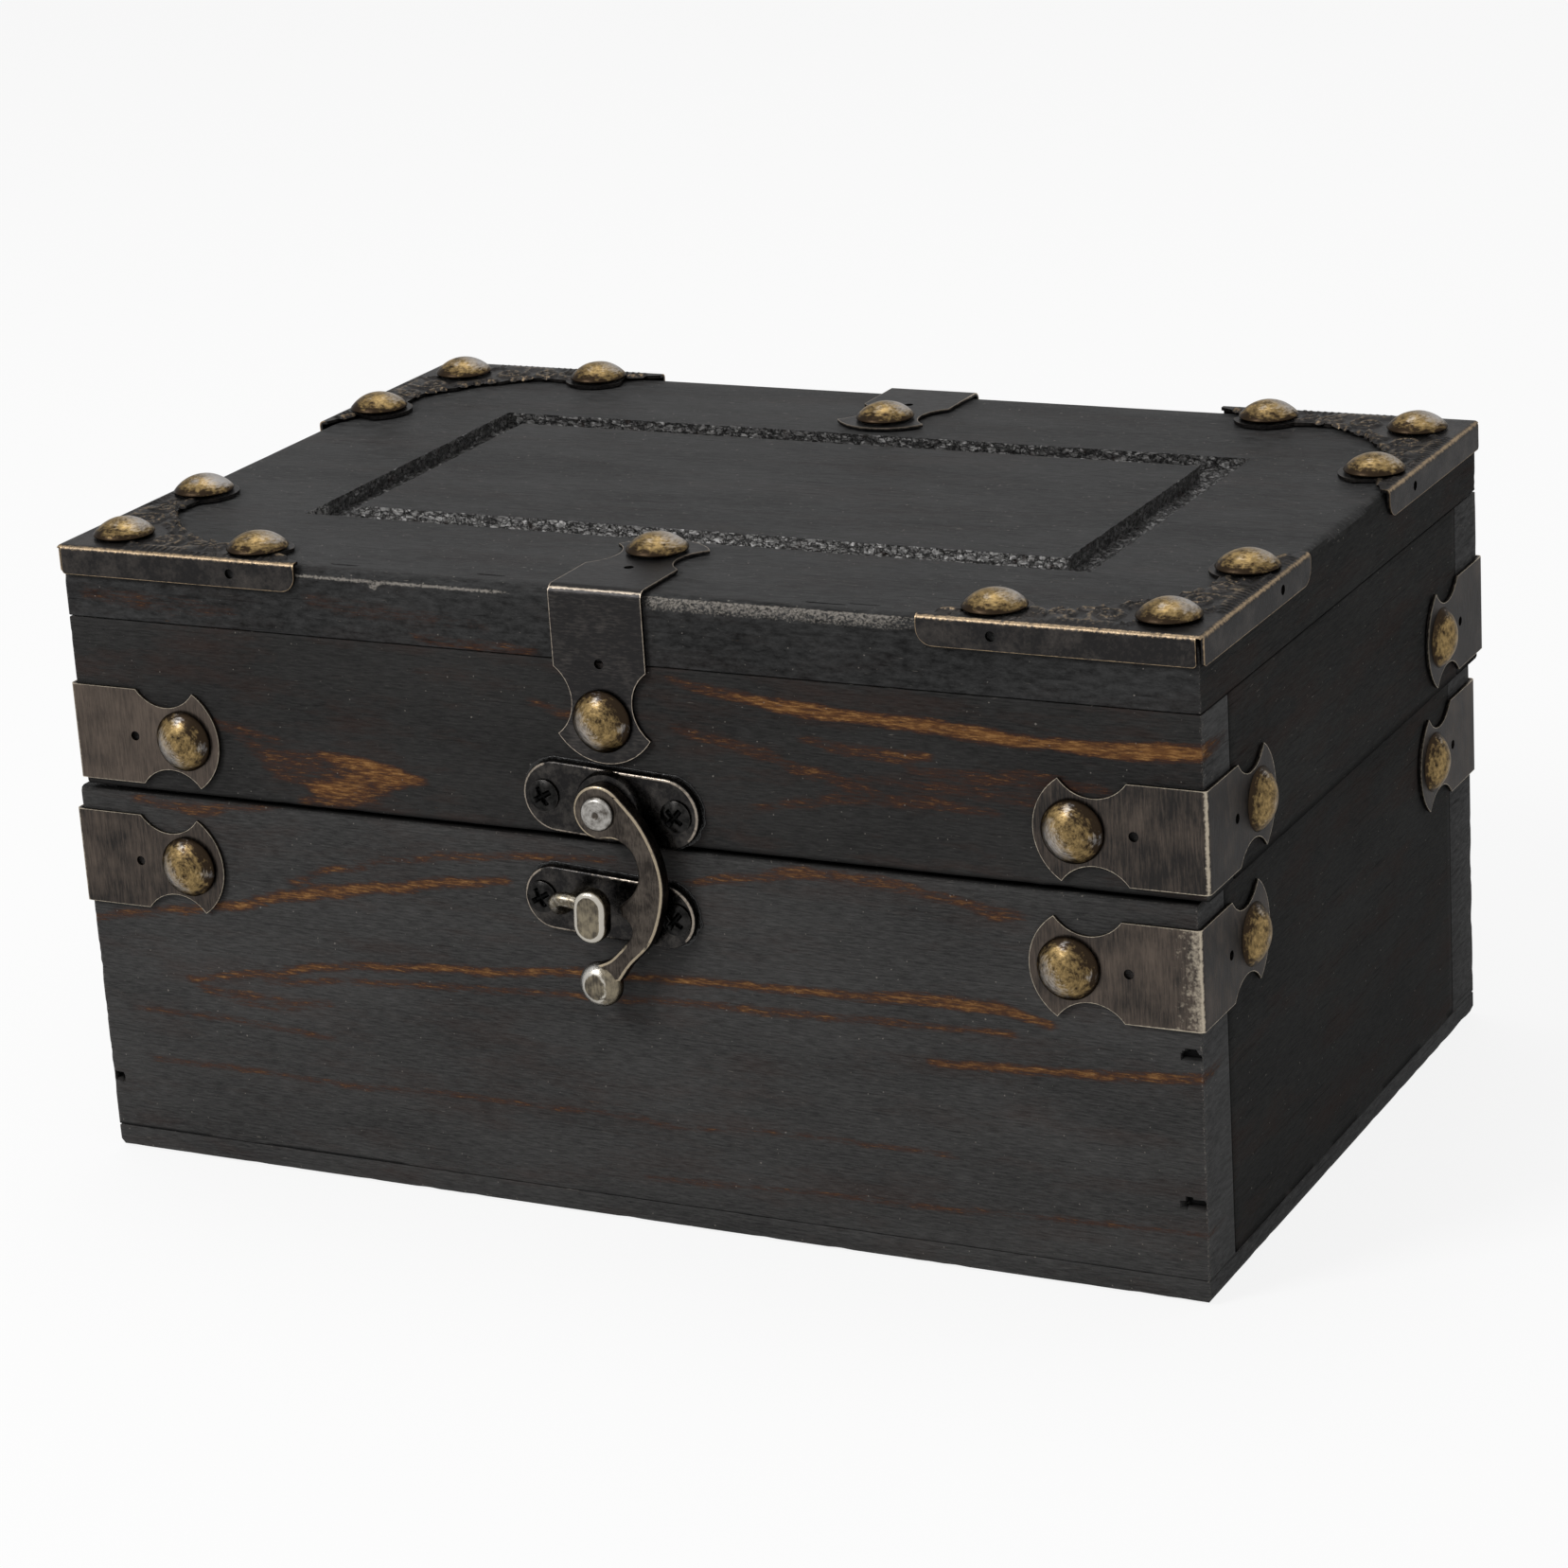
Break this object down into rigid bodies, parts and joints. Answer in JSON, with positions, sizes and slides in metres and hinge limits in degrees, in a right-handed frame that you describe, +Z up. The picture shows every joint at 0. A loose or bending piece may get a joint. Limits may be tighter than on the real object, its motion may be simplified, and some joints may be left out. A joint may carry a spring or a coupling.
{
  "type": "decorative box",
  "caption": "Small hinged storage box of black-stained wood with a grooved lid, embossed bronze corner plates, folded edge straps, dome nails and a swing hook latch",
  "frame": {"origin": "centre of the base's underside, on the surface that the box stands on", "axes": "+X to the right of someone facing the latch, along the box's length, -Y out of the front, +Z up"},
  "size_m": [0.2294, 0.1544, 0.1219],
  "materials": {
    "lid_wood": "black stain, worn satin",
    "base_wood": "black stain, worn satin",
    "top_board_wood": "black stain, worn satin",
    "strap_bronze": "antique bronze plating, worn edges",
    "nail_brass": "antique brass, mottled",
    "latch_bronze": "antique bronze plating, worn edges",
    "screw_dark": "blackened",
    "rivet_steel": "bare steel",
    "hinge_bronze": "antique bronze plating"
  },
  "bodies": {
    "base": {"base_front_board": "base_wood", "base_back_board": "base_wood", "base_left_board": "base_wood", "base_right_board": "base_wood", "base_bottom_board": "base_wood", "base_strap_front_left": "strap_bronze", "base_strap_front_right": "strap_bronze", "base_strap_back_left": "strap_bronze", "base_strap_back_right": "strap_bronze", "base_nail_front_left": "nail_brass", "base_nail_front_right": "nail_brass", "hinge_base_leaf_left": "hinge_bronze", "hinge_base_leaf_right": "hinge_bronze", "hinge_pin_left": "hinge_bronze", "hinge_pin_right": "hinge_bronze", "catch_plate": "latch_bronze", "catch_screw_left": "screw_dark", "catch_screw_right": "screw_dark"},
    "lid": {"lid_top_board": "top_board_wood", "lid_front_board": "lid_wood", "lid_back_board": "lid_wood", "lid_left_board": "lid_wood", "lid_right_board": "lid_wood", "corner_plate_front_left": "strap_bronze", "corner_plate_front_right": "strap_bronze", "corner_plate_back_left": "strap_bronze", "corner_plate_back_right": "strap_bronze", "top_nail_front_left_corner": "nail_brass", "top_nail_front_left_long": "nail_brass", "top_nail_front_left_short": "nail_brass", "top_nail_front_right_corner": "nail_brass", "top_nail_front_right_long": "nail_brass", "top_nail_front_right_short": "nail_brass", "top_nail_back_left_corner": "nail_brass", "top_nail_back_left_long": "nail_brass", "top_nail_back_left_short": "nail_brass", "top_nail_back_right_corner": "nail_brass", "top_nail_back_right_long": "nail_brass", "top_nail_back_right_short": "nail_brass", "lid_strap_front_left": "strap_bronze", "lid_strap_front_right": "strap_bronze", "lid_strap_back_left": "strap_bronze", "lid_strap_back_right": "strap_bronze", "lid_nail_front_left": "nail_brass", "lid_nail_front_right": "nail_brass", "front_centre_strap": "strap_bronze", "back_centre_strap": "strap_bronze", "front_centre_nail_low": "nail_brass", "front_centre_nail_top": "nail_brass", "back_centre_nail_low": "nail_brass", "back_centre_nail_top": "nail_brass", "hinge_lid_leaf_left": "hinge_bronze", "hinge_lid_leaf_right": "hinge_bronze", "latch_plate": "latch_bronze", "latch_screw_left": "screw_dark", "latch_screw_right": "screw_dark", "latch_rivet": "rivet_steel"},
    "latch_arm": {"latch_arm": "latch_bronze"}
  },
  "joints": [
    {"name": "lid_hinge", "type": "hinge", "parent": "base", "child": "lid", "pos_m": [0, 0.0723, 0.07225], "axis": [-1, 0, 0], "range_deg": [0, 155]},
    {"name": "latch_swing", "type": "hinge", "parent": "lid", "child": "latch_arm", "pos_m": [0.0023, -0.07, 0.0795], "axis": [0, -1, 0], "range_deg": [-33, 110]}
  ]
}
